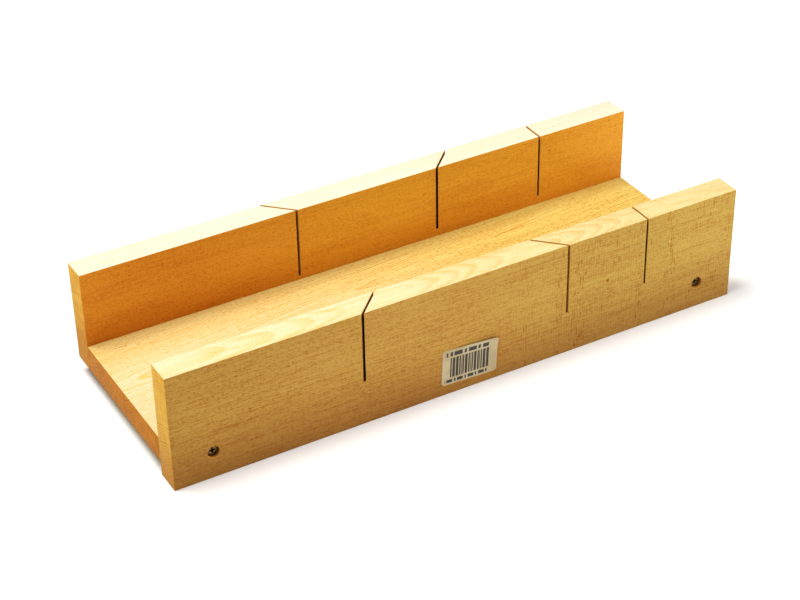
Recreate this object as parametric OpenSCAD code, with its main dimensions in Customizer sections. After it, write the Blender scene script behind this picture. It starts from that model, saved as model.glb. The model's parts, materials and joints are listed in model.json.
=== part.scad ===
// Bench-hook mitre box in beech: a base board between two slotted fences, screwed together from outside.
// The origin is at the middle of the base's underside, where it rests on the bench. +X runs along the
// boards, +Y points away from the user, towards the rear fence, and +Z points up.

/* [Box] */
// Length of the three boards
box_length = 400; // [350:5:500]
// Clear width between the fences
channel_width = 106; // [90:1:140]
// Thickness of the base board
base_thickness = 18; // [16:1:25]

/* [Fences] */
// Thickness of each fence
fence_thickness = 18; // [16:1:22]
// Height of the fences above the base's underside
fence_height = 70; // [60:1:90]
// How far the front fence hangs below the base, to hook over the bench's edge
hook_drop = 10; // [5:1:25]
// Chamfer that eases the fences' long edges
edge_ease = 0.5; // [0.2:0.1:1]

/* [Saw kerfs] */
// Width of every kerf
kerf_width = 1.3; // [0.8:0.1:2]
// Angle between a mitre kerf and a square cut
mitre_angle = 45; // [30:1:50]
// Kerf that runs to the right going back: where it crosses the channel's middle
right_mitre_x = -2; // [-20:0.5:20]
// Kerf that runs to the left going back: where it crosses the channel's middle
left_mitre_x = 1; // [-20:0.5:20]
// Square kerf: where it crosses the channel's middle
square_x = 131; // [100:1:150]
// Height of the right mitre kerf's floor above the base, in the front and the rear fence
right_mitre_floor = [3, 5]; // [0:0.5:10]
// Height of the left mitre kerf's floor above the base, in the front and the rear fence
left_mitre_floor = [2, 2.5]; // [0:0.5:10]
// Height of the square kerf's floor above the base, in the front and the rear fence
square_floor = [4, 6]; // [0:0.5:10]

/* [Screws] */
// Distance of the screws from the boards' ends
screw_inset = 26.5; // [20:0.5:35]
// Height of the screws above the base's underside
screw_z = 8; // [6:0.5:10]
// Length of a screw
screw_length = 40; // [30:1:50]
// Diameter of a screw's head
head_d = 7; // [6:0.1:7.4]
// Diameter over the screw's thread
thread_d = 4; // [3:0.1:4.5]
// Diameter at the root of the thread, and of the plain shank
core_d = 2.8; // [2:0.1:2.9]
// Distance from one thread to the next
thread_pitch = 1.8; // [1.2:0.1:2.5]
// Depth that a head is sunk below the fence's outer face
head_sink = 2.5; // [1:0.5:4]
// Diameter of the hole that the head is sunk in
counterbore_d = 8; // [7.6:0.1:10]

/* [Label] */
// Width of the paper label
label_w = 39.5; // [20:0.5:60]
// Height of the paper label
label_h = 25.5; // [15:0.5:30]
// Thickness of the paper label
label_t = 0.15; // [0.1:0.05:0.3]
// Radius of the label's corners
label_r = 2; // [0.5:0.5:4]
// Distance of the label's middle from the boards' middle, along X
label_x = 0.5; // [-10:0.5:20]
// Height of the label's middle above the base's underside
label_z = 9.25; // [5:0.25:20]
// Angle that the label is turned clockwise
label_turn = 2.5; // [0:0.5:5]

/* [Hidden] */
$fn = 64;

half_length = box_length / 2;
half_channel = channel_width / 2;
outer_y = half_channel + fence_thickness;
past = 1;

// Each kerf: where it crosses the channel's middle, its angle, and its floors above the base
kerfs = [
    [right_mitre_x, -mitre_angle, right_mitre_floor],
    [left_mitre_x, mitre_angle, left_mitre_floor],
    [square_x, 0, square_floor]
];
kerf_length = 4 * outer_y;

screw_right_x = half_length - screw_inset;
screw_left_x = -screw_right_x;

head_rim = 0.35;
head_cone = (head_d - core_d) / 2;
seat_depth = head_sink + head_rim;
plain_shank = fence_thickness - head_sink;
tip_length = 5;
thread_turns = floor((screw_length - plain_shank - tip_length) / thread_pitch);
tip_start = plain_shank + thread_turns * thread_pitch;
bit_clearance = 0.1;

recess_w = 1;
recess_l = 4;
recess_depth = 1.6;
recess_core_d = 2.2;

// A fence's cross-section across Y and Z, with its four long edges eased
module fence_profile(low, high) {
    polygon([
        [edge_ease, low],
        [fence_thickness - edge_ease, low],
        [fence_thickness, low + edge_ease],
        [fence_thickness, high - edge_ease],
        [fence_thickness - edge_ease, high],
        [edge_ease, high],
        [0, high - edge_ease],
        [0, low + edge_ease]
    ]);
}

// A fence board from its inner face at the channel outwards. side is -1 in front and 1 at the rear
module fence_board(side, low) {
    mirror([0, side < 0 ? 1 : 0, 0])
        translate([-half_length, half_channel, 0])
            rotate([90, 0, 90])
                linear_extrude(box_length)
                    fence_profile(low, fence_height);
}

// The three saw cuts, down to their floors in the front fence (which = 0) or the rear one (which = 1)
module saw_cuts(which) {
    for (kerf = kerfs)
        translate([kerf[0], 0, base_thickness + kerf[2][which]])
            rotate([0, 0, kerf[1]])
                translate([-kerf_width / 2, -kerf_length / 2, 0])
                    cube([kerf_width, kerf_length, fence_height]);
}

// Moves a screw or its hole to one place: its head faces outwards, on the side given
module at_screw(side, x) {
    translate([x, side * outer_y, screw_z])
        rotate([-side * 90, 0, 0])
            children();
}

// The counterbore, seat and clearance hole of one screw, with the mouth at z = 0 and the hole below it
module screw_hole() {
    translate([0, 0, -head_sink])
        cylinder(d = counterbore_d, h = head_sink + past);
    translate([0, 0, -seat_depth])
        cylinder(d = head_d, h = seat_depth);
    translate([0, 0, -seat_depth - head_cone])
        cylinder(d1 = core_d, d2 = head_d, h = head_cone);
    translate([0, 0, -head_sink - screw_length - past])
        cylinder(d = thread_d + bit_clearance, h = screw_length + past);
}

// A screw's outline: head, plain shank, a ring for each turn of the thread, and the point
function thread_points() = [
    for (turn = [0 : thread_turns - 1])
        for (corner = [[0, core_d / 2], [0.5, thread_d / 2]])
            [corner[1], -plain_shank - (turn + corner[0]) * thread_pitch]
];

module screw_profile() {
    polygon(concat(
        [
            [0, 0],
            [head_d / 2, 0],
            [head_d / 2, -head_rim],
            [core_d / 2, -head_rim - head_cone]
        ],
        thread_points(),
        [
            [core_d / 2, -tip_start],
            [0, -screw_length]
        ]
    ));
}

// The cross recess in a screw's head, for a driver
module cross_recess() {
    translate([0, 0, -recess_depth]) {
        for (turn = [0, 90])
            rotate([0, 0, turn])
                translate([-recess_l / 2, -recess_w / 2, 0])
                    cube([recess_l, recess_w, recess_depth + past]);
        cylinder(d = recess_core_d, h = recess_depth + past);
    }
}

// A countersunk wood screw with the top of its head at z = 0
module wood_screw() {
    difference() {
        rotate_extrude()
            screw_profile();
        cross_recess();
    }
}

module placed_screw(side, x) {
    color([0.30, 0.28, 0.26])
        at_screw(side, x)
            translate([0, 0, -head_sink])
                wood_screw();
}

// The base board, with the four screws' pilot holes in its long edges
module base_board() {
    color([0.93, 0.84, 0.60])
        difference() {
            translate([-half_length, -half_channel, 0])
                cube([box_length, channel_width, base_thickness]);
            for (side = [-1, 1], x = [screw_left_x, screw_right_x])
                at_screw(side, x)
                    screw_hole();
        }
}

// The front fence hangs below the base, and hooks over the edge of the bench
module front_fence() {
    color([0.78, 0.62, 0.35])
        difference() {
            fence_board(-1, -hook_drop);
            saw_cuts(0);
            for (x = [screw_left_x, screw_right_x])
                at_screw(-1, x)
                    screw_hole();
        }
}

// The rear fence ends flush with the base's underside
module rear_fence() {
    color([0.82, 0.56, 0.24])
        difference() {
            fence_board(1, 0);
            saw_cuts(1);
            for (x = [screw_left_x, screw_right_x])
                at_screw(1, x)
                    screw_hole();
        }
}

module screw_front_left() {
    placed_screw(-1, screw_left_x);
}

module screw_front_right() {
    placed_screw(-1, screw_right_x);
}

module screw_rear_left() {
    placed_screw(1, screw_left_x);
}

module screw_rear_right() {
    placed_screw(1, screw_right_x);
}

// A rectangle with round corners, centred on the origin
module rounded_rectangle(w, h, r) {
    square([w - 2 * r, h], center = true);
    square([w, h - 2 * r], center = true);
    for (x = [-1, 1], y = [-1, 1])
        translate([x * (w / 2 - r), y * (h / 2 - r)])
            circle(r);
}

// The blank paper label, stuck on the front fence's outer face
module label() {
    color([0.88, 0.86, 0.78])
        translate([label_x, -outer_y, label_z])
            rotate([90, 0, 0])
                rotate([0, 0, -label_turn])
                    linear_extrude(label_t)
                        rounded_rectangle(label_w, label_h, label_r);
}

base_board();
front_fence();
rear_fence();
screw_front_left();
screw_front_right();
screw_rear_left();
screw_rear_right();
label();
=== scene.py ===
"""A beech mitre box: the looks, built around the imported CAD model.

Everything is in metres, in the CAD's own frame: +X along the boards, +Y from the front fence to the rear one,
and +Z up. Only the materials' patterns count in millimetres.
"""

import json
import math
import random

import bmesh
import bpy
from mathutils import Matrix, Vector, noise


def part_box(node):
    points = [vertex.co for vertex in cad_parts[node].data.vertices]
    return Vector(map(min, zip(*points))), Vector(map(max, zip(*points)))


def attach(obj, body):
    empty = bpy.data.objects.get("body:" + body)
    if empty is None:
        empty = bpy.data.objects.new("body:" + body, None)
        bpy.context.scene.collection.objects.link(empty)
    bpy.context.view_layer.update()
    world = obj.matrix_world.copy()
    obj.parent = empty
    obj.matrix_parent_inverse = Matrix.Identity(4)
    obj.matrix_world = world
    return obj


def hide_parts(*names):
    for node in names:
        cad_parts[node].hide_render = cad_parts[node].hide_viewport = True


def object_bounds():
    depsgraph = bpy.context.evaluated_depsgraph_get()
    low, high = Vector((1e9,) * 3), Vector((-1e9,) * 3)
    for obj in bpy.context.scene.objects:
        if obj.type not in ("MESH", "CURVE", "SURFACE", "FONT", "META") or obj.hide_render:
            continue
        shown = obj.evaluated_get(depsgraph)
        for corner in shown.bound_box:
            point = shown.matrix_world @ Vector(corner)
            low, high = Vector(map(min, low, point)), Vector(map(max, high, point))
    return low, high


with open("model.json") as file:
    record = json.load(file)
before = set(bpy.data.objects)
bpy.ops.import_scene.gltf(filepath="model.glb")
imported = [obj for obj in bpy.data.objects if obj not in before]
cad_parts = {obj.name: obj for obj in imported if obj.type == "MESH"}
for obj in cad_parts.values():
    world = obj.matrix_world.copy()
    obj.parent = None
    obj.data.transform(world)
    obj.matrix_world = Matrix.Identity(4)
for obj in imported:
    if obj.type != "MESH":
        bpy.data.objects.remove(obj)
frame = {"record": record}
cad_low, cad_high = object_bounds()

# ---------------------------------------------------------------- places, from the frame
MM = 0.001
BASE_LOW, BASE_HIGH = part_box("base_board")
FRONT_LOW, FRONT_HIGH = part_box("front_fence")
REAR_LOW, REAR_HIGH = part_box("rear_fence")
LABEL_LOW, LABEL_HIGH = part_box("label")
LABEL_MIDDLE = (LABEL_LOW + LABEL_HIGH) / 2
MOUNTS = {mount["name"]: mount for mount in frame["record"]["mounts"]}
FENCE_TOP = FRONT_HIGH.z
FENCE_THICKNESS = FRONT_HIGH.y - FRONT_LOW.y

# ---------------------------------------------------------------- sizes, as in the CAD
# Each kerf's floor above the base's top, in the front and in the rear fence
KERF_FLOORS = {
    "saw_kerf_right_mitre": (3 * MM, 5 * MM),
    "saw_kerf_left_mitre": (2 * MM, 2.5 * MM),
    "saw_kerf_square": (4 * MM, 6 * MM),
}
KERF_WIDTH = 1.3 * MM
# Each screw, and the side that it goes in from: -1 the front, 1 the rear
SCREWS = {
    "screw_front_left": -1,
    "screw_front_right": -1,
    "screw_rear_left": 1,
    "screw_rear_right": 1,
}
COUNTERBORE_R = 4 * MM
HEAD_SINK = 2.5 * MM
HEAD_RIM = 0.35 * MM
SHANK_R = 1.4 * MM
THREAD_R = 2 * MM
THREAD_PITCH = 1.8 * MM
TIP_LENGTH = 5 * MM
BIT_R = 2.05 * MM
HOLE_LENGTH = 45 * MM
RECESS_DEPTH = 1.6 * MM
LABEL_SIZE = (39.5 * MM, 25.5 * MM)
LABEL_CORNER = 2 * MM
LABEL_TURN = math.radians(2.5)

# ---------------------------------------------------------------- sizes that only the looks have
BOARD_EASE = 0.25 * MM
CUT_REACH = 3 * MM
KERF_FLARE_DEPTH = 0.35 * MM
KERF_FLARE = 0.12 * MM
KERF_WALL_WANDER = 0.05 * MM
KERF_FLOOR_WANDER = 0.12 * MM
KERF_FLOOR_BAND = 0.4 * MM
HOLE_WEAR = 0.3 * MM
HOLE_WOBBLE = 0.012
HOLE_SEGMENTS = 40
SCREW_SEGMENTS = 24
RINGS_PER_TURN = 8
CREST_HALF_WIDTH = 0.3
POINT_R = 0.05 * MM
RECESS_ARM = 2 * MM
RECESS_HALF_WIDTH = 0.55 * MM
LABEL_THICKNESS = 0.12 * MM
LABEL_GAP = 0.005 * MM
LABEL_COCKLE = 0.02 * MM
LABEL_LIFT = 1.9 * MM


# ---------------------------------------------------------------- mesh helpers
def link_mesh(name, mesh):
    """A new object with that mesh, in the scene."""
    obj = bpy.data.objects.new(name, mesh)
    bpy.context.scene.collection.objects.link(obj)
    return obj


def mesh_object(name, verts, faces):
    """A new object with that closed mesh, its faces turned outwards."""
    mesh = bpy.data.meshes.new(name)
    mesh.from_pydata([tuple(v) for v in verts], [], faces)
    bm = bmesh.new()
    bm.from_mesh(mesh)
    bmesh.ops.recalc_face_normals(bm, faces=bm.faces)
    bm.to_mesh(mesh)
    bm.free()
    return link_mesh(name, mesh)


def cut(obj, cutters):
    """Takes the cutters out of obj, and deletes them."""
    for cutter in cutters:
        step = obj.modifiers.new("cut", "BOOLEAN")
        step.operation = "DIFFERENCE"
        step.solver = "EXACT"
        step.material_mode = "TRANSFER"
        step.object = cutter
    bpy.context.view_layer.update()
    shape = obj.evaluated_get(bpy.context.evaluated_depsgraph_get())
    mesh = bpy.data.meshes.new_from_object(shape)
    obj.modifiers.clear()
    obj.data = mesh
    for cutter in cutters:
        bpy.data.objects.remove(cutter)


def shade(obj, angle=32):
    """Smooth shading, with the edges sharper than angle kept crisp."""
    mesh = obj.data
    mesh.polygons.foreach_set("use_smooth", [True] * len(mesh.polygons))
    mesh.set_sharp_from_angle(angle=math.radians(angle))


def tube(rings):
    """The verts and faces of a tube through rings of equal length, with a cap on each end."""
    count = len(rings[0])
    last = (len(rings) - 1) * count
    verts = [v for ring in rings for v in ring]
    faces = []
    for i in range(0, last, count):
        for j in range(count):
            k = (j + 1) % count
            faces.append((i + j, i + k, i + count + k, i + count + j))
    faces.append(tuple(range(count)))
    faces.append(tuple(range(last, last + count)))
    return verts, faces


def circle(centre, sideways, up, radii):
    """A ring of points round centre, one for each of the radii."""
    ring = []
    for k, radius in enumerate(radii):
        angle = 2 * math.pi * k / len(radii)
        ring.append(centre + sideways * (radius * math.cos(angle)) + up * (radius * math.sin(angle)))
    return ring


def lathe(name, profile, spot, outwards, segments, wobble=0.0, dice=None):
    """A closed turned shape. profile is (depth behind spot, radius), and outwards the way out of the wood.

    wobble is how far a point may be off its radius, as a share of it, which dice decides at random.
    """
    up = Vector((0, 0, 1))
    sideways = outwards.cross(up)
    rings = []
    for depth, radius in profile:
        radii = [radius * (1 + (dice.uniform(-wobble, wobble) if dice else 0.0)) for _ in range(segments)]
        rings.append(circle(spot - outwards * depth, sideways, up, radii))
    return mesh_object(name, *tube(rings))


# ---------------------------------------------------------------- material nodes
class Graph:
    """A small helper that wires a material's nodes."""

    def __init__(self, name):
        self.material = bpy.data.materials.new(name)
        self.material.use_nodes = True
        self.tree = self.material.node_tree
        self.tree.nodes.clear()

    def node(self, kind, inputs=(), **settings):
        made = self.tree.nodes.new(kind)
        for key, value in settings.items():
            setattr(made, key, value)
        for key, value in dict(inputs).items():
            self.feed(made.inputs[key], value)
        return made

    def feed(self, socket, value):
        if isinstance(value, bpy.types.NodeSocket):
            self.tree.links.new(value, socket)
        else:
            socket.default_value = value

    def math(self, operation, a, b=0.0, c=0.0):
        return self.node("ShaderNodeMath", {0: a, 1: b, 2: c}, operation=operation).outputs[0]

    def times(self, first, *others):
        """All of them multiplied."""
        for other in others:
            first = self.math("MULTIPLY", first, other)
        return first

    def plus(self, value, more, share):
        """value + more * share."""
        return self.math("MULTIPLY_ADD", more, share, value)

    def about_zero(self, value):
        """A noise, which is about a half on average, moved to lie about zero."""
        return self.math("SUBTRACT", value, 0.5)

    def vector(self, operation, a, b=(0, 0, 0)):
        made = self.node("ShaderNodeVectorMath", {0: a, 1: b}, operation=operation)
        return made.outputs["Value" if operation in ("LENGTH", "DISTANCE", "DOT_PRODUCT") else "Vector"]

    def stretch(self, at, rates, shift=None):
        """at times the rates along X, Y and Z, moved on by shift."""
        scaled = self.vector("MULTIPLY", at, rates)
        return self.vector("ADD", scaled, shift) if shift else scaled

    def join(self, x, y, z):
        return self.node("ShaderNodeCombineXYZ", {0: x, 1: y, 2: z}).outputs[0]

    def split(self, vector):
        return self.node("ShaderNodeSeparateXYZ", {0: vector}).outputs

    def object_mm(self):
        """Where a point of the piece is, in mm."""
        mm = self.vector("SCALE", self.node("ShaderNodeTexCoord").outputs["Object"])
        self.feed(mm.node.inputs["Scale"], 1 / MM)
        return mm

    def noise(self, at, detail, rough=0.5, scale=1.0):
        inputs = {"Vector": at, "Scale": scale, "Detail": detail, "Roughness": rough}
        return self.node("ShaderNodeTexNoise", inputs).outputs["Fac"]

    def steps(self, value, low, high, to_low=0.0, to_high=1.0):
        """A smooth change from to_low to to_high as value goes from low to high."""
        made = self.node(
            "ShaderNodeMapRange",
            {"Value": value, "From Min": low, "From Max": high, "To Min": to_low, "To Max": to_high},
            interpolation_type="SMOOTHSTEP",
        )
        return made.outputs[0]

    def blend(self, amount, a, b, mode="MIX"):
        made = self.node("ShaderNodeMix", data_type="RGBA", blend_type=mode)
        for socket, value in ((0, amount), (6, a), (7, b)):
            self.feed(made.inputs[socket], value)
        return made.outputs[2]

    def finish(self, colour, roughness, height=None, bump=0.3, reach=0.2 * MM, **sockets):
        """The material: sockets are the shader's own, with _ for a space."""
        shader = self.node("ShaderNodeBsdfPrincipled", {"Base Color": colour, "Roughness": roughness})
        for key, value in sockets.items():
            shader.inputs[key.replace("_", " ")].default_value = value
        if height is not None:
            bumped = self.node("ShaderNodeBump", {"Height": height, "Strength": bump, "Distance": reach})
            self.tree.links.new(bumped.outputs[0], shader.inputs["Normal"])
        out = self.node("ShaderNodeOutputMaterial")
        self.tree.links.new(shader.outputs[0], out.inputs[0])
        return self.material


# ---------------------------------------------------------------- beech
UP, FRONTWARD, LEFTWARD, RIGHTWARD = (0, 0, 1), (0, -1, 0), (-1, 0, 0), (1, 0, 0)

# How fast each pattern changes along X, Y and Z, per mm. The boards' fibres run along X.
FIBRE = (0.18, 1.6, 1.6)
PORE = (0.6, 1.7, 1.7)
THREAD = (0.015, 0.62, 0.62)
STREAK = (0.006, 0.10, 0.10)
CLOUD = (0.018, 0.03, 0.03)
HEART_BEND = (1 / 140, 1 / 80, 1 / 80)
RAY_PATCH = (0.02, 0.05, 0.05)
TORN_GRAIN = (1.2, 0.4, 0.16)
TORN_PATCH = (0.035, 0.02, 0.03)
END_SCRATCH = (0.0, 0.9, 0.12)

# Pairs and fours like these go into Graph.steps: where a change starts and ends, and from what to what.
# Which way a face has to look to be an end, an upward face or another skin, whose colours are painted light
# and shade, as the cosine of the angle
END_FACING = (0.75, 0.95)
UP_FACING = (0.7, 0.95)
PAINTED_SKIN_FACING = (0.6, 0.9)

# The rings: how unevenly wide years are, how each darkens slowly and ends sharply, and how years differ
YEAR_RATE, YEAR_SPREAD = 0.07, 3.0
LATE_RISE, LATE_FALL = (0.45, 0.92), (1.0, 0.94)
YEAR_STRENGTH = (0.3, 0.7, 0.3, 1.0)

# The rays' two sizes: length and thickness in mm, the share of them left out, and a shift to set them apart
RAY_SIZES = ((3.8, 0.85, 0.35, 0.0), (2.4, 0.65, 0.45, 31.7))
# A ray's edge, the weight from which one shows in full, and how strong they are in and between the patches
RAY_EDGE = (0.44, 0.22)
RAY_FULL = 0.85
RAY_STRENGTH = (0.3, 0.65, 0.6, 1.0)
# How fast the rays' lines on the ends change per radian round the heart, and per mm away from it
FAN_TURN, FAN_OUT = 15.0, 0.03
FAN_EDGE = (0.5, 0.66)

# From one planer mark or saw mark to the next, in mm, and how much the saw marks slant
CHATTER_PITCH = 1.9
SAW_PITCH = 2.3
SAW_SLANT = 1.6
# How the planer's marks grow along X, and how much of the rays they leave, with x in mm
CHATTER_GROWTH = (-20.0, 90.0, 0.15, 1.0)
RAYS_LEFT = (-60.0, 70.0, 1.0, 0.45)
# The edges of the torn streaks, and the patches that have them
TORN_EDGE = (0.53, 0.68)
TORN_SPREAD = (0.42, 0.62, 0.0, 0.5)

# The tongues' outlines, how the slow changes of tone bend them, and how many spacings away they fade out
TONGUE_RISE, TONGUE_FALL = (0.3, 0.93), (1.0, 0.93)
TONGUE_BEND = 1.5
TONGUE_REACH = (2.4, 1.4)

# How far each pattern takes the wood from its light colour, at 0, to its dark one, at 1
PLAIN_TONE = 0.12
FAN_TONE = -0.45
FIBRE_TONE = 1.1
PORE_TONE = 1.4
STREAK_TONE = 0.4
CLOUD_TONE = 0.3
TORN_TONE = 0.95
RIPPLE_TONE = 0.07
SCRATCH_TONE = 1.0
TONGUE_TONE = 0.45
KNOT_TONE = 1.3
# What takes the fibres and pores together back to about 0 on average, and how much of them upward faces and
# ends show
GRAIN_SHIFT = -1.23
UPPER_GRAIN = 0.8
END_GRAIN = 0.4

# The light and dark wood of the upward faces near the left end, and how it grows along X and Y, in mm
PALE_LIGHT = (0.63, 0.52, 0.345)
PALE_DARK = (0.61, 0.405, 0.10)
PALE_X = (110.0, -150.0)
PALE_Y = (50.0, 0.0)
PALE_LEAST = 0.25

# How far each pattern stands out of the wood, against the others
SAW_RELIEF = 0.5
RIPPLE_RELIEF = 0.12
CHATTER_RELIEF = 0.5
FIBRE_RELIEF = 0.7
PORE_RELIEF = 0.5
RAY_RELIEF = -0.7

WOOD_SPECULAR = 0.05
WOOD_ROUGHNESS = (0.2, 1.2, 0.42, 0.7)
END_ROUGHER = 0.4


def year_rings(g, mm, pith, ring, tilt, wander, seed):
    """How far into its late wood each year is, 0 to 1, and the turn and distance from the tree's heart."""
    x, y, z = g.split(mm)
    slow = g.stretch(mm, HEART_BEND, (seed, seed * 1.7, seed * 0.6))
    off_heart = []
    for across, heart, drift, shift in zip((y, z), pith, tilt, ((0, 0, 0), (7.3, 2.1, 4.4))):
        bend = g.times(g.about_zero(g.noise(g.vector("ADD", slow, shift), 2.0)), wander * 2)
        off_heart.append(g.math("ADD", g.plus(-heart, x, -drift), g.math("ADD", across, bend)))
    radius = g.vector("LENGTH", g.join(0.0, *off_heart))
    turn = g.math("ARCTAN2", off_heart[1], off_heart[0])
    uneven = g.noise(g.join(g.times(radius, YEAR_RATE), seed, 0.0), 1.0)
    rings = g.plus(g.math("DIVIDE", radius, ring), uneven, YEAR_SPREAD)
    phase = g.math("FRACT", rings)
    late = g.times(g.steps(phase, *LATE_RISE), g.steps(phase, *LATE_FALL))
    strength = g.noise(g.join(g.math("FLOOR", rings), seed, 0.5), 0.0, scale=3.1)
    return g.times(late, g.steps(strength, *YEAR_STRENGTH)), turn, radius


def ray_spindles(g, mm, seed):
    """The rays as a planed side shows them: short spindles along the board, in two sizes and in patches."""
    ray = 0.0
    for length, thick, left_out, shift in RAY_SIZES:
        at = g.stretch(mm, (1 / length, 1 / thick, 1 / thick), (shift, seed, shift))
        cells = g.node("ShaderNodeTexVoronoi", {"Vector": at, "Scale": 1.0, "Randomness": 1.0})
        weight = g.node("ShaderNodeSeparateColor", {0: cells.outputs["Color"]}).outputs[0]
        spindle = g.steps(cells.outputs["Distance"], *RAY_EDGE)
        spindle = g.times(spindle, g.steps(weight, left_out, RAY_FULL))
        ray = g.math("MAXIMUM", ray, spindle)
    patches = g.noise(g.stretch(mm, RAY_PATCH, (seed, 3, 1)), 2.0)
    return g.times(ray, g.steps(patches, *RAY_STRENGTH))


def torn_grain(g, mm, torn_at, seed):
    """The short upright streaks that a planer tears out, here and there and at each (x, half width)."""
    x = g.split(mm)[0]
    torn = g.noise(g.stretch(mm, TORN_GRAIN, (seed, 5, 2)), 3.0, 0.6)
    patch = g.noise(g.stretch(mm, TORN_PATCH, (seed, 9, 4)), 2.0)
    patch = g.steps(patch, *TORN_SPREAD)
    for middle, half in torn_at:
        away = g.math("ABSOLUTE", g.math("SUBTRACT", x, middle))
        patch = g.math("MAXIMUM", patch, g.steps(away, half, 0.0))
    return g.times(g.steps(torn, *TORN_EDGE), patch)


def tongue(g, mm, cloud, middle_x, middle_y, spacing, width):
    """A run of nested tongues of figure along X: their dark outlines, which fade out away from the middle."""
    x, y, _ = g.split(mm)
    off = g.plus(-middle_y / width, y, 1 / width)
    phase = g.plus(g.plus(cloud, off, off), x, 1 / spacing)
    phase = g.math("FRACT", g.plus(phase, cloud, TONGUE_BEND))
    outline = g.times(g.steps(phase, *TONGUE_RISE), g.steps(phase, *TONGUE_FALL))
    away = g.math("ABSOLUTE", g.math("SUBTRACT", x, middle_x))
    return g.times(outline, g.steps(away, *(reach * spacing for reach in TONGUE_REACH)))


def beech(name, light, dark, pith, painted_light_skins, ring, tilt, seed, figure, end_figure, fleck, thread_tone, knots,
          wander=6.0, top_fleck=0.25, chatter=0.0, torn_at=(), painted_shade_tints=(), pale_left=0.0, curls=()):
    """Planed beech, coloured between light and dark. Lengths here are in mm.

    pith is the (y, z) of the tree's heart and tilt how far it drifts in y and z for each mm along X. skins
    are painted light and shade: they give the faces that look another way their own (direction, light, dark),
    lighter or darker copies of the wood for how light falls on each face. ring is a year's growth, wander
    how far the rings bend and figure how strongly they show, or end_figure on the ends. fleck is the strength
    of the rays, of which top_fleck is left on upward faces, thread_tone that of the long fibres, and chatter
    that of the planer's marks, which grow to the right and are torn most at each (x, half width) of torn_at.
    knots are the (x, y, z, radius) of pin knots. tints are painted shade and light, (axis, from, to, colour),
    and colour all but the upward faces more and more towards one side, as light falls off across the board.
    pale_left lightens the left end's upward faces, and curls are the (x, y, spacing, width) of runs of
    tongues on the top edge.
    """
    g = Graph(name)
    mm = g.object_mm()
    x, y, z = g.split(mm)
    facing = g.node("ShaderNodeNewGeometry").outputs["True Normal"]
    end = g.steps(g.math("ABSOLUTE", g.vector("DOT_PRODUCT", facing, RIGHTWARD)), *END_FACING)
    side = g.math("SUBTRACT", 1.0, end)
    upper = g.steps(g.vector("DOT_PRODUCT", facing, UP), *UP_FACING)

    late, turn, radius = year_rings(g, mm, pith, ring, tilt, wander, seed)
    ray = g.times(ray_spindles(g, mm, seed), g.steps(upper, 0.0, 1.0, 1.0, top_fleck))
    if chatter:
        # The planer's marks hide the rays more and more to the right
        ray = g.times(ray, g.steps(x, *RAYS_LEFT))
    # On the ends the rays are a fan of pale lines
    fan = g.noise(g.join(g.times(turn, FAN_TURN), g.times(radius, FAN_OUT), seed), 2.0)

    # Fibres and pores along the board, slow changes of tone, and scratches down the ends
    fine = g.noise(g.stretch(mm, FIBRE), 3.0, 0.7)
    pores = g.noise(g.stretch(mm, PORE), 1.0)
    streak = g.noise(g.stretch(mm, STREAK), 3.0, 0.55)
    thread = g.noise(g.stretch(mm, THREAD), 1.0)
    cloud = g.noise(g.stretch(mm, CLOUD, (seed, 0, seed)), 3.0)
    scratches = g.noise(g.stretch(mm, END_SCRATCH), 2.0)

    # The planer's chatter: fine upright lines, and torn streaks
    ripple = g.math("SINE", g.plus(g.times(cloud, 3.0), x, 2 * math.pi / CHATTER_PITCH))
    right = g.times(g.steps(x, *CHATTER_GROWTH), side)
    torn = g.times(torn_grain(g, mm, torn_at, seed), g.times(right, chatter))

    # From light to dark
    grain = g.plus(g.plus(GRAIN_SHIFT, pores, PORE_TONE), fine, FIBRE_TONE)
    grain = g.times(grain, g.steps(upper, 0.0, 1.0, 1.0, UPPER_GRAIN))
    tone = g.plus(PLAIN_TONE, late, g.plus(figure, end, end_figure - figure))
    tone = g.plus(tone, g.times(ray, side), fleck)
    tone = g.plus(tone, g.times(g.steps(fan, *FAN_EDGE), end), FAN_TONE)
    tone = g.plus(tone, grain, g.plus(END_GRAIN, side, 1 - END_GRAIN))
    tone = g.plus(tone, g.times(g.about_zero(thread), side), thread_tone)
    tone = g.plus(tone, g.about_zero(streak), STREAK_TONE)
    tone = g.plus(tone, g.about_zero(cloud), CLOUD_TONE)
    tone = g.plus(tone, torn, TORN_TONE)
    tone = g.plus(tone, g.times(ripple, right, chatter), RIPPLE_TONE)
    tone = g.plus(tone, g.times(g.about_zero(scratches), end), SCRATCH_TONE)
    for curl in curls:
        tone = g.plus(tone, g.times(tongue(g, mm, cloud, *curl), upper), TONGUE_TONE)
    for *knot, size in knots:
        tone = g.plus(tone, g.steps(g.vector("DISTANCE", mm, knot), size, size * 0.4), KNOT_TONE)
    tone = g.math("MAXIMUM", tone, 0.0)

    # The colours of each face: the skins are painted light and shade, a lighter or darker wood for each way a
    # face looks
    light_now, dark_now = (*light, 1), (*dark, 1)
    for direction, its_light, its_dark in painted_light_skins:
        here = g.steps(g.vector("DOT_PRODUCT", facing, direction), *PAINTED_SKIN_FACING)
        light_now = g.blend(here, light_now, (*its_light, 1))
        dark_now = g.blend(here, dark_now, (*its_dark, 1))
    if pale_left:
        near = g.times(g.steps(x, *PALE_X), g.steps(y, *PALE_Y, PALE_LEAST, pale_left), upper)
        light_now = g.blend(near, light_now, (*PALE_LIGHT, 1))
        dark_now = g.blend(near, dark_now, (*PALE_DARK, 1))
    colour = g.blend(tone, light_now, dark_now)
    # Painted shade and light: all but the upward faces darker or paler towards one side, as light falls off
    for axis, start, full, shade_tint in painted_shade_tints:
        amount = g.times(g.steps((x, y, z)[axis], start, full), g.math("SUBTRACT", 1.0, upper))
        colour = g.blend(amount, colour, (*shade_tint, 1), "MULTIPLY")

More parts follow.
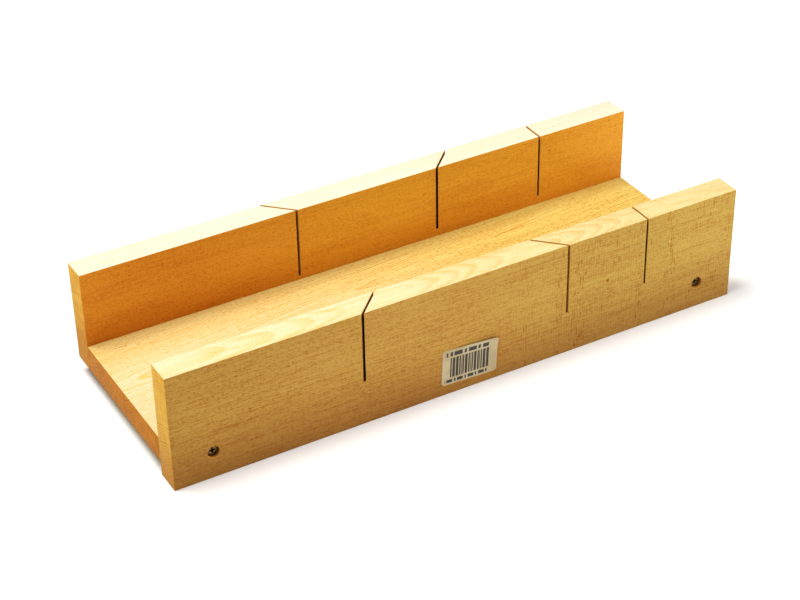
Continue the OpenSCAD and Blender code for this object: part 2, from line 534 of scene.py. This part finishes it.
    # Relief: fibres, pores, sunk rays, the planer's ripple, and the saw's marks on the ends
    sawn = g.math("SINE", g.times(g.plus(y, z, SAW_SLANT), 2 * math.pi / SAW_PITCH))
    height = g.times(sawn, end, SAW_RELIEF)
    height = g.plus(height, ripple, g.plus(RIPPLE_RELIEF, right, chatter * CHATTER_RELIEF))
    height = g.plus(height, fine, FIBRE_RELIEF)
    height = g.plus(height, pores, PORE_RELIEF)
    height = g.plus(height, ray, RAY_RELIEF)
    roughness = g.steps(g.plus(fine, end, END_ROUGHER), *WOOD_ROUGHNESS)
    return g.finish(colour, roughness, height, 0.35, 0.06 * MM, Specular_IOR_Level=WOOD_SPECULAR)


# ---------------------------------------------------------------- the other materials
# The depths in mm where the painted highlight on a kerf's sawn mouth has faded, and where it is still full
LIT_ARRIS_FADE = (0.4, 0.16)
# A depth below the fence's top counts for less, as daylight reaches further down a kerf than along it
TOP_DAYLIGHT = 0.35

# The label's rows of marks: the rates of two waves whose beat sets the marks' widths, so that they say
# nothing, the level above which the beat prints, and the row's bottom, top, left and right, as shares of half
# the label's size
LABEL_ROWS = (
    ((2.9, 4.9), -0.55, -0.62, 0.5, -0.72, 0.70),
    ((1.9, 0.6), -0.9, 0.60, 0.84, -0.86, 0.66),
    ((2.5, 0.8), -0.8, -0.9, -0.72, -0.9, 0.68),
)


def cut_wood(name, light, dark, rates, deep_shade=None, shadow=(0.5, 1.25), lit_arris=None):
    """Wood inside a kerf or a hole, rougher than a planed face, with a torn grain of those rates.

    It darkens to the colour deep, a painted shade, over the depths in the fence that shadow gives, in mm. The
    sawn edge at the mouth may have a colour of its own, a painted highlight where light reaches in.
    """
    g = Graph(name)
    mm = g.object_mm()
    torn = g.noise(g.stretch(mm, rates), 3.0, 0.65)
    colour = g.blend(g.steps(torn, 0.3, 0.7), (*light, 1), (*dark, 1))
    _, y, z = g.split(mm)
    across = g.math("ABSOLUTE", y)
    past_inner = g.math("SUBTRACT", across, REAR_LOW.y / MM)
    past_outer = g.math("SUBTRACT", REAR_HIGH.y / MM, across)
    below_top = g.math("SUBTRACT", FENCE_TOP / MM, z)
    inwards = g.math("MINIMUM", past_inner, past_outer)
    inwards = g.math("MINIMUM", inwards, g.times(below_top, TOP_DAYLIGHT))
    # A painted highlight on the sawn mouth, where light reaches in
    if lit_arris:
        colour = g.blend(g.steps(inwards, *LIT_ARRIS_FADE), colour, (*lit_arris, 1))
    # Painted shade, darker further into the fence
    if deep_shade:
        colour = g.blend(g.steps(inwards, *shadow), colour, (*deep_shade, 1))
    return g.finish(colour, 0.85, torn, 0.5, 0.1 * MM, Specular_IOR_Level=WOOD_SPECULAR)


def steel(name):
    """Dark screw steel with a yellowish cast, scuffed by the driver."""
    g = Graph(name)
    mm = g.object_mm()
    blotch = g.noise(mm, 4.0, 0.6, scale=0.9)
    scuff = g.noise(g.stretch(mm, (6.0, 1.0, 1.4)), 3.0, 0.7)
    colour = g.blend(g.steps(blotch, 0.35, 0.7), (0.13, 0.075, 0.018, 1), (0.26, 0.15, 0.04, 1))
    colour = g.blend(g.steps(scuff, 0.6, 0.75), colour, (0.42, 0.28, 0.10, 1))
    roughness = g.steps(scuff, 0.3, 0.75, 0.5, 0.28)
    return g.finish(colour, roughness, scuff, 0.3, 0.03 * MM, Metallic=0.85)


def paper(name):
    """Cream label paper with rows of plain bars and dashes, printed square to the label."""
    g = Graph(name)
    spot = g.node("ShaderNodeTexCoord").outputs["Object"]
    moved = g.node("ShaderNodeMapping", {"Vector": spot, "Location": (-LABEL_MIDDLE.x, 0, -LABEL_MIDDLE.z)})
    turned = g.node(
        "ShaderNodeMapping",
        {"Vector": moved.outputs[0], "Rotation": (0, -LABEL_TURN, 0), "Scale": (1 / MM, 1 / MM, 1 / MM)},
    ).outputs[0]
    u, _, v = g.split(turned)
    half_w, half_h = (size / 2 / MM for size in LABEL_SIZE)
    fibre = g.noise(turned, 4.0, 0.6, scale=3.0)
    stain = g.noise(turned, 2.0, 0.5, scale=0.12)
    colour = g.blend(g.steps(stain, 0.35, 0.7), (0.49, 0.40, 0.235, 1), (0.41, 0.32, 0.17, 1))
    colour = g.blend(g.times(fibre, 0.25), colour, (0.36, 0.29, 0.15, 1))

    def inside(value, low, high, soft):
        """1 between low and high, and 0 elsewhere, with soft edges."""
        return g.times(g.steps(value, low - soft, low + soft), g.steps(value, high + soft, high - soft))

    ink = 0.0
    for rates, level, bottom, top, left, right in LABEL_ROWS:
        waves = [g.math("SINE", g.plus(rate, u, rate)) for rate in rates]
        marks = g.steps(g.math("ADD", *waves), level, level + 0.15)
        marks = g.times(marks, inside(v, bottom * half_h, top * half_h, 0.08))
        ink = g.math("MAXIMUM", ink, g.times(marks, inside(u, left * half_w, right * half_w, 0.05)))
    ink = g.times(ink, g.steps(fibre, 0.25, 0.6, 0.88, 1.0))
    colour = g.blend(ink, colour, (0.025, 0.02, 0.018, 1))
    return g.finish(colour, 0.62, fibre, 0.2, 0.03 * MM, Specular_IOR_Level=0.3)


# ---------------------------------------------------------------- boards
def eased_board(name, low, high):
    """A board with all its edges rounded."""
    size = high - low
    centre = (low + high) / 2
    bm = bmesh.new()
    bmesh.ops.create_cube(bm, size=1.0, matrix=Matrix.Translation(centre) @ Matrix.Diagonal((*size, 1)))
    bmesh.ops.bevel(
        bm, geom=bm.edges[:], offset=BOARD_EASE, segments=3, profile=0.5, affect="EDGES", clamp_overlap=True
    )
    mesh = bpy.data.meshes.new(name)
    bm.to_mesh(mesh)
    bm.free()
    return link_mesh(name, mesh)


def saw_cutter(mount, side, inner, outer, floor, dice):
    """What a back saw takes out of one fence: a thin slab with slightly wandering walls and a flared mouth.

    inner and outer are how far the fence's two faces are from the channel's middle.
    """
    middle, way = Vector(mount["pos_m"]), Vector(mount["axis"])
    across = Vector((way.y, -way.x, 0))
    if way.y * side < 0:
        way = -way
    columns, rows = 6, 14
    depths = [inner - CUT_REACH, inner, inner + KERF_FLARE_DEPTH]
    depths += [inner + (outer - inner) * k / columns for k in range(1, columns)]
    depths += [outer - KERF_FLARE_DEPTH, outer, outer + CUT_REACH]
    heights = [floor, floor + KERF_FLOOR_BAND]
    heights += [floor + (FENCE_TOP - floor) * k / rows for k in range(1, rows)]
    heights += [FENCE_TOP - KERF_FLARE_DEPTH, FENCE_TOP, FENCE_TOP + CUT_REACH]
    verts = []
    for wall in (-1, 1):
        for depth in depths:
            for height in heights:
                at_mouth = depth <= inner or depth >= outer or height >= FENCE_TOP
                half = KERF_WIDTH / 2 + (KERF_FLARE if at_mouth else 0.0)
                half += dice.uniform(-KERF_WALL_WANDER, KERF_WALL_WANDER)
                rise = dice.uniform(-KERF_FLOOR_WANDER, KERF_FLOOR_WANDER) if height == floor else 0.0
                spot = way * (depth / abs(way.y)) + across * (wall * half)
                verts.append(Vector((middle.x + spot.x, spot.y, height + rise)))

    def at(wall, i, j):
        return (wall * len(depths) + i) * len(heights) + j

    faces = []
    last_i, last_j = len(depths) - 1, len(heights) - 1
    for i in range(last_i):
        for j in range(last_j):
            for wall in (0, 1):
                faces.append((at(wall, i, j), at(wall, i + 1, j), at(wall, i + 1, j + 1), at(wall, i, j + 1)))
    for i in range(last_i):
        for j in (0, last_j):
            faces.append((at(0, i, j), at(0, i + 1, j), at(1, i + 1, j), at(1, i, j)))
    for j in range(last_j):
        for i in (0, last_i):
            faces.append((at(0, i, j), at(0, i, j + 1), at(1, i, j + 1), at(1, i, j)))
    cutter = mesh_object("kerf", verts, faces)
    cutter.data.materials.append(kerf_wood)
    return cutter


def screw_place(name):
    """Where a screw's axis meets the fence's outer face, the way out of the wood, and its length and head."""
    low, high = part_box(name)
    side = SCREWS[name]
    face = FRONT_LOW.y if side < 0 else REAR_HIGH.y
    spot = Vector(((low.x + high.x) / 2, face, (low.z + high.z) / 2))
    return spot, Vector((0, side, 0)), high.y - low.y, (high.x - low.x) / 2


def screw_hole(name, dice):
    """The cutter for one screw's hole: a counterbore with a worn rim, a countersunk seat and a bore."""
    spot, out, _, head = screw_place(name)
    seat = HEAD_SINK + HEAD_RIM
    profile = [
        (-1 * MM, COUNTERBORE_R + HOLE_WEAR),
        (0.0, COUNTERBORE_R + HOLE_WEAR),
        (HOLE_WEAR, COUNTERBORE_R),
        (HEAD_SINK, COUNTERBORE_R),
        (HEAD_SINK + 0.01 * MM, head),
        (seat, head),
        (seat + head - BIT_R, BIT_R),
        (HOLE_LENGTH, BIT_R),
    ]
    cutter = lathe("hole", profile, spot, out, HOLE_SEGMENTS, HOLE_WOBBLE, dice)
    cutter.data.materials.append(bore_wood)
    return cutter


def fence(name, side, low, high, seed, wood):
    """The front fence (side -1) or the rear one (side 1), with three sawn kerfs and two screw holes."""
    dice = random.Random(seed)
    board = eased_board(name, low, high)
    board.data.materials.append(wood)
    inner, outer = sorted((abs(low.y), abs(high.y)))
    cutters = []
    for kerf, floors in KERF_FLOORS.items():
        floor = BASE_HIGH.z + floors[0 if side < 0 else 1]
        cutters.append(saw_cutter(MOUNTS[kerf], side, inner, outer, floor, dice))
    cutters += [screw_hole(screw, dice) for screw, its_side in SCREWS.items() if its_side == side]
    cut(board, cutters)
    shade(board)
    return board


def base(name, seed, wood):
    """The base: an eased board with four screw holes."""
    dice = random.Random(seed)
    board = eased_board(name, BASE_LOW, BASE_HIGH)
    board.data.materials.append(wood)
    cut(board, [screw_hole(screw, dice) for screw in SCREWS])
    shade(board)
    return board


# ---------------------------------------------------------------- screws
def thread_radius(angle, depth, start, length):
    """How far out the screw reaches there. The thread grows over a turn, and both shrink into the point."""
    wave = (depth / THREAD_PITCH - angle / (2 * math.pi)) % 1.0
    crest = max(0.0, 1 - abs(wave - 0.5) / CREST_HALF_WIDTH)
    taper = (length - depth) / TIP_LENGTH
    fade = min(1.0, (depth - start) / THREAD_PITCH, taper)
    core = SHANK_R * min(1.0, taper + 0.04)
    return core + (THREAD_R - SHANK_R) * crest * max(fade, 0.05)


def screw(name):
    """A wood screw with a helical thread, a countersunk head and a cross recess."""
    spot, out, length, head = screw_place(name)
    up = Vector((0, 0, 1))
    sideways = out.cross(up)
    top = spot - out * HEAD_SINK
    start = FENCE_THICKNESS - HEAD_SINK

    # The head's rounded edge and rim, its cone, and the plain shank
    turned = [(0.0, head - 0.25 * MM), (0.12 * MM, head - 0.04 * MM), (0.25 * MM, head), (HEAD_RIM, head)]
    turned += [(HEAD_RIM + head - SHANK_R, SHANK_R), (start, SHANK_R)]
    rings = [circle(top - out * depth, sideways, up, [radius] * SCREW_SEGMENTS) for depth, radius in turned]

    # The thread, down to the point
    step = THREAD_PITCH / RINGS_PER_TURN
    depth = start + step
    while depth < length - 0.2 * MM:
        angles = [2 * math.pi * k / SCREW_SEGMENTS for k in range(SCREW_SEGMENTS)]
        radii = [thread_radius(angle, depth, start, length) for angle in angles]
        rings.append(circle(top - out * depth, sideways, up, radii))
        depth += step
    rings.append(circle(top - out * length, sideways, up, [POINT_R] * SCREW_SEGMENTS))
    made = mesh_object("wood_" + name, *tube(rings))
    made.data.materials.append(screw_steel)

    # The cross recess: a core and two crossed slots, all narrower at the bottom
    core = [(-0.5 * MM, 1.15 * MM), (0.0, 1.1 * MM), (RECESS_DEPTH, 0.5 * MM)]
    cutters = [lathe("recess", core, top, out, SCREW_SEGMENTS)]
    arm, wide = RECESS_ARM, RECESS_HALF_WIDTH
    levels = ((-0.5 * MM, arm * 1.12, wide * 1.1), (0.0, arm, wide), (RECESS_DEPTH, arm * 0.5, wide * 0.5))
    for along, across in ((sideways, up), (up, sideways)):
        slot_rings = []
        for depth, reach, half in levels:
            middle = top - out * depth
            corners = ((-reach, -half), (reach, -half), (reach, half), (-reach, half))
            slot_rings.append([middle + along * a + across * b for a, b in corners])
        cutters.append(mesh_object("recess", *tube(slot_rings)))
    # The recess's walls take a near-black finish, painted shade
    for cutter in cutters:
        cutter.data.materials.append(recess_painted_shade)
    cut(made, cutters)
    shade(made, 40)
    return made


# ---------------------------------------------------------------- label
def label(name):
    """A thin paper label with round corners, stuck flat but for its upper right edge, which lifts."""
    width, height = LABEL_SIZE
    columns, rows = 48, 30
    spin = Matrix.Rotation(LABEL_TURN, 3, "Y")
    grid = []
    for j in range(rows + 1):
        v = (j / rows - 0.5) * height
        inset = max(0.0, abs(v) - (height / 2 - LABEL_CORNER))
        shrink = LABEL_CORNER - math.sqrt(max(0.0, LABEL_CORNER**2 - inset**2))
        for i in range(columns + 1):
            u = (i / columns - 0.5) * (width - 2 * shrink)
            s, t = u / width + 0.5, v / height + 0.5
            lift = LABEL_LIFT * (max(0.0, t - 0.55) / 0.45) ** 2 * max(0.0, s - 0.1)
            lift += LABEL_COCKLE * (1 + noise.noise(Vector((u, v, 0)) * 260))
            grid.append((spin @ Vector((u, 0, v)), lift))
    verts = []
    for thickness in (LABEL_THICKNESS, 0.0):
        for flat, lift in grid:
            out = FRONT_LOW.y - lift - thickness - LABEL_GAP
            verts.append(Vector((LABEL_MIDDLE.x + flat.x, out, LABEL_MIDDLE.z + flat.z)))
    line = columns + 1
    faces = []
    for j in range(rows):
        for i in range(columns):
            a = j * line + i
            quad = (a, a + 1, a + line + 1, a + line)
            faces.append(quad)
            faces.append(tuple(len(grid) + k for k in reversed(quad)))
    rim = list(range(line))
    rim += [j * line + columns for j in range(1, rows + 1)]
    rim += [rows * line + i for i in range(columns - 1, -1, -1)]
    rim += [j * line for j in range(rows - 1, 0, -1)]
    for a, b in zip(rim, rim[1:] + rim[:1]):
        faces.append((a, b, len(grid) + b, len(grid) + a))
    made = mesh_object(name, verts, faces)
    shade(made, 50)
    return made


# ---------------------------------------------------------------- the materials of this box
# The boards' skins and tints below are painted light and shade: pale lit tops, deeper faces and ends, and
# darker towards the bottom and the left. This is the fences' right end skin.
RIGHT_END_PAINTED_LIGHT = (RIGHTWARD, (0.62, 0.34, 0.062), (0.36, 0.14, 0.014))
front_wood = beech(
    "beech_front", light=(0.50, 0.29, 0.058), dark=(0.32, 0.095, 0.009), pith=(-80, -36),
    painted_light_skins=(
        (UP, (0.56, 0.465, 0.225), (0.48, 0.29, 0.07)),
        (LEFTWARD, (0.80, 0.46, 0.066), (0.43, 0.175, 0.013)),
        RIGHT_END_PAINTED_LIGHT,
    ),
    ring=1.8, tilt=(0.02, -0.05), seed=1.3, figure=0.22, end_figure=0.55, fleck=0.48, thread_tone=0.9,
    knots=((102, -71, 34, 1.5), (-166, -61, 70, 0.8)),
    chatter=1.0, torn_at=((40, 9), (66, 5), (80, 12), (127, 5), (150, 8)),
    # Painted shade and light: darker towards the bottom and the left end, paler towards the right end
    painted_shade_tints=(
        (2, 38, -9, (0.71, 0.57, 0.53)),
        (0, -40, -200, (0.94, 0.92, 0.90)),
        (0, -40, 150, (0.99, 1.12, 1.14)),
    ),
    pale_left=0.8, curls=((92, -62, 15, 8), (0, -61, 17, 9), (-125, -62, 24, 9)),
)
rear_wood = beech(
    "beech_rear", light=(0.50, 0.29, 0.058), dark=(0.32, 0.095, 0.009), pith=(150, 40),
    painted_light_skins=(
        (UP, (0.60, 0.56, 0.43), (0.53, 0.38, 0.18)),
        (FRONTWARD, (0.72, 0.335, 0.027), (0.46, 0.115, 0.004)),
        (LEFTWARD, (0.84, 0.56, 0.073), (0.45, 0.22, 0.016)),
        RIGHT_END_PAINTED_LIGHT,
    ),
    ring=2.6, tilt=(0.01, 0.02), seed=4.7, figure=0.15, end_figure=0.45, fleck=0.35, thread_tone=0.45,
    knots=((139, 53, 57, 0.9), (146, 60, 70, 0.7)),
    # Painted shade: darker towards the bottom and the left end
    painted_shade_tints=((2, 50, 14, (0.82, 0.64, 0.47)), (0, 0, -170, (0.90, 0.72, 0.72))),
)
base_wood = beech(
    "beech_base", light=(0.56, 0.43, 0.115), dark=(0.44, 0.20, 0.016), pith=(24, 23),
    painted_light_skins=(
        (LEFTWARD, (0.56, 0.205, 0.016), (0.20, 0.05, 0.003)),
        (RIGHTWARD, (0.58, 0.29, 0.045), (0.30, 0.10, 0.008)),
    ),
    ring=1.7, tilt=(0.10, -0.03), seed=8.2, figure=0.78, end_figure=0.6, fleck=0.85, thread_tone=0.5,
    knots=((-77, 12, 18, 0.9),), wander=4, top_fleck=1.0, pale_left=0.95,
)
# Kerf walls: darker than the boards, partly as sawn, scorched wood and partly as painted shade in the narrow
# slots; they darken further in as painted shade and are lighter at the mouth as a painted highlight
kerf_wood = cut_wood(
    "kerf_wood", light=(0.30, 0.10, 0.014), dark=(0.14, 0.04, 0.006), rates=(2.0, 2.0, 0.4),
    deep_shade=(0.012, 0.006, 0.003), lit_arris=(0.66, 0.32, 0.06),
)
# Hole walls, darkening to a painted shadow in a ring round the seated head
bore_wood = cut_wood(
    "bore_wood", light=(0.60, 0.28, 0.05), dark=(0.42, 0.17, 0.028), rates=(1.5, 1.5, 1.5),
    deep_shade=(0.03, 0.014, 0.005), shadow=(2.2, 2.5),
)
# Near black: painted shade in the screws' cross recesses
recess_painted_shade = cut_wood(
    "recess_painted_shade", light=(0.02, 0.017, 0.012), dark=(0.008, 0.007, 0.005), rates=(2.0, 2.0, 2.0)
)
screw_steel = steel("screw_steel")
label_paper = paper("label_paper")


# ---------------------------------------------------------------- the pieces
def stands_for(piece, node):
    """Stands the piece in for a CAD node: ties it to the root body and hides the node."""
    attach(piece, "root")
    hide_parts(node)


front = fence("mitre_box_front_fence", -1, FRONT_LOW, FRONT_HIGH, 11, front_wood)
stands_for(front, "front_fence")
rear = fence("mitre_box_rear_fence", 1, REAR_LOW, REAR_HIGH, 23, rear_wood)
stands_for(rear, "rear_fence")
stands_for(base("mitre_box_base", 31, base_wood), "base_board")
for screw_name in SCREWS:
    stands_for(screw(screw_name), screw_name)
sticker = label("blank_label")
sticker.data.materials.append(label_paper)
stands_for(sticker, "label")


# ---------------------------------------------------------------- stage
def stage_material(name, colour):
    """A matt, hardly mottled surface."""
    g = Graph(name)
    mottled = g.noise(g.node("ShaderNodeTexCoord").outputs["Object"], 3.0, scale=6.0)
    darker = [channel * 0.9 for channel in colour]
    tone = g.blend(g.times(mottled, 0.04), (*colour, 1), (*darker, 1))
    return g.finish(tone, 0.8)


def slab(name, low, high):
    """A plain block between two corners."""
    corners = ((low.x, low.y), (high.x, low.y), (high.x, high.y), (low.x, high.y))
    return mesh_object(name, *tube([[Vector((x, y, z)) for x, y in corners] for z in (low.z, high.z)]))


FLOOR_REACH = 4
FLOOR_THICKNESS = 0.01
# How far the packing stays behind the front fence, and inside the box's ends and back
PACKING_GAP = 4 * MM
PACKING_INSET = (20 * MM, 12 * MM)

# The front fence hangs below the base, so a packing piece behind it carries the base above the floor
floor_z = FRONT_LOW.z
pale = stage_material("studio_floor", (0.78, 0.78, 0.78))
floor = slab(
    "studio_floor",
    Vector((-FLOOR_REACH, -FLOOR_REACH, floor_z - FLOOR_THICKNESS)),
    Vector((FLOOR_REACH, FLOOR_REACH, floor_z)),
)
packing = slab(
    "studio_packing",
    Vector((BASE_LOW.x + PACKING_INSET[0], FRONT_HIGH.y + PACKING_GAP, floor_z)),
    Vector((BASE_HIGH.x - PACKING_INSET[0], REAR_HIGH.y - PACKING_INSET[1], BASE_LOW.z)),
)
for thing in (floor, packing):
    thing.data.materials.append(pale)


def area_light(name, spot, aim, size, power, colour=(1, 1, 1)):
    """A square lamp at spot, turned to the point aim."""
    data = bpy.data.lights.new(name, "AREA")
    data.shape = "SQUARE"
    data.size = size
    data.energy = power
    data.color = colour
    light = bpy.data.objects.new(name, data)
    light.location = spot
    light.rotation_euler = (Vector(aim) - Vector(spot)).to_track_quat("-Z", "Y").to_euler()
    bpy.context.scene.collection.objects.link(light)


area_light("key", (-0.42, 0.12, 1.45), (0, 0, 0), 0.8, 34, (1.0, 0.99, 0.96))
area_light("fill", (1.0, -0.8, 0.65), (0.08, 0, 0), 0.8, 14)

world = bpy.data.worlds.new("studio")
bpy.context.scene.world = world
world.use_nodes = True
background = world.node_tree.nodes["Background"]
background.inputs["Color"].default_value = (1.0, 1.0, 1.0, 1)
background.inputs["Strength"].default_value = 0.3
bpy.context.scene.view_settings.view_transform = "Standard"

# ---------------------------------------------------------------- camera
VIEW_AZIMUTH = math.radians(-29.25)
VIEW_ELEVATION = math.radians(33.63)
VIEW_ROLL = math.radians(-1.08)
VIEW_DISTANCE = 1.282
VIEW_LENS = 91.05
AIM_OFFSET = Vector((-0.0108, -0.0049, -0.0095))

camera_data = bpy.data.cameras.new("camera")
camera_data.lens = VIEW_LENS
camera_data.sensor_width = 36
camera = bpy.data.objects.new("camera", camera_data)
bpy.context.scene.collection.objects.link(camera)
middle = (cad_low + cad_high) / 2
aim = Vector((middle.x, (FRONT_LOW.y + REAR_HIGH.y) / 2, middle.z)) + AIM_OFFSET
back = Vector((
    math.sin(VIEW_AZIMUTH) * math.cos(VIEW_ELEVATION),
    -math.cos(VIEW_AZIMUTH) * math.cos(VIEW_ELEVATION),
    math.sin(VIEW_ELEVATION),
))
camera.location = aim + back * VIEW_DISTANCE
facing_aim = (-back).to_track_quat("-Z", "Y").to_matrix() @ Matrix.Rotation(VIEW_ROLL, 3, "Z")
camera.rotation_euler = facing_aim.to_euler()
bpy.context.scene.camera = camera
